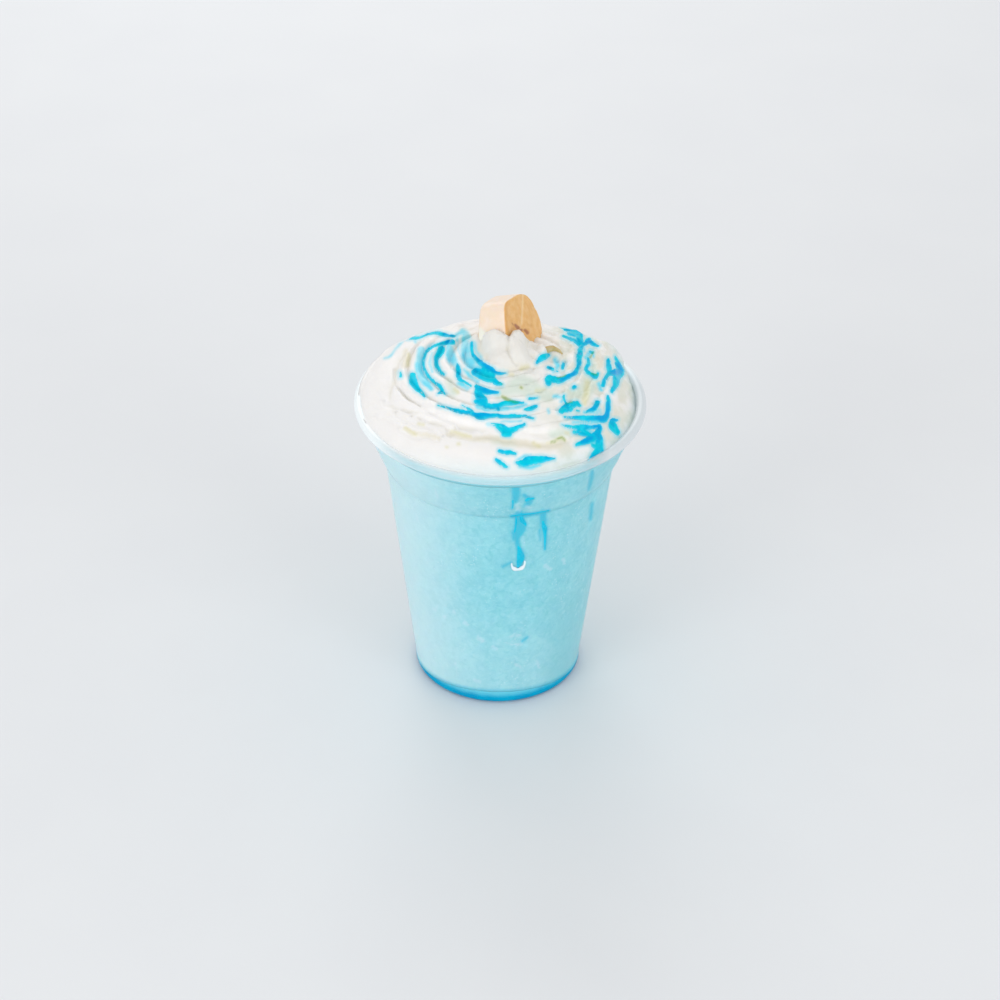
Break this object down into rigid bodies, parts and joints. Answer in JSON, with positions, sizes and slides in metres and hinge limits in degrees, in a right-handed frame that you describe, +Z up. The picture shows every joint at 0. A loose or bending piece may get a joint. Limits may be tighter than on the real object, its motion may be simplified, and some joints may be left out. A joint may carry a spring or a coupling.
{
  "type": "iced banana drink in a clear cup",
  "caption": "Blended icy blue drink in a flared clear plastic cup, topped with piped whipped cream, blue syrup and a slice of banana.",
  "frame": {"origin": "on the cup's axis, on the surface that the cup stands on", "axes": "+Z up along the cup's axis; the shown side faces -Y, +X to its right"},
  "size_m": [0.11, 0.11, 0.1581],
  "materials": {
    "cup": "clear, glossy, thin-walled",
    "syrup": "wet, clear blue syrup",
    "drink": "frosty blended ice, pale blue, opaque",
    "cream": "soft whipped cream, satin",
    "banana": "moist cut banana, pale round the edge"
  },
  "bodies": {
    "root": {"cup": "cup", "base_syrup": "syrup", "drink": "drink", "cream": "cream", "banana_slice": "banana", "banana_sliver": "banana"}
  },
  "joints": []
}
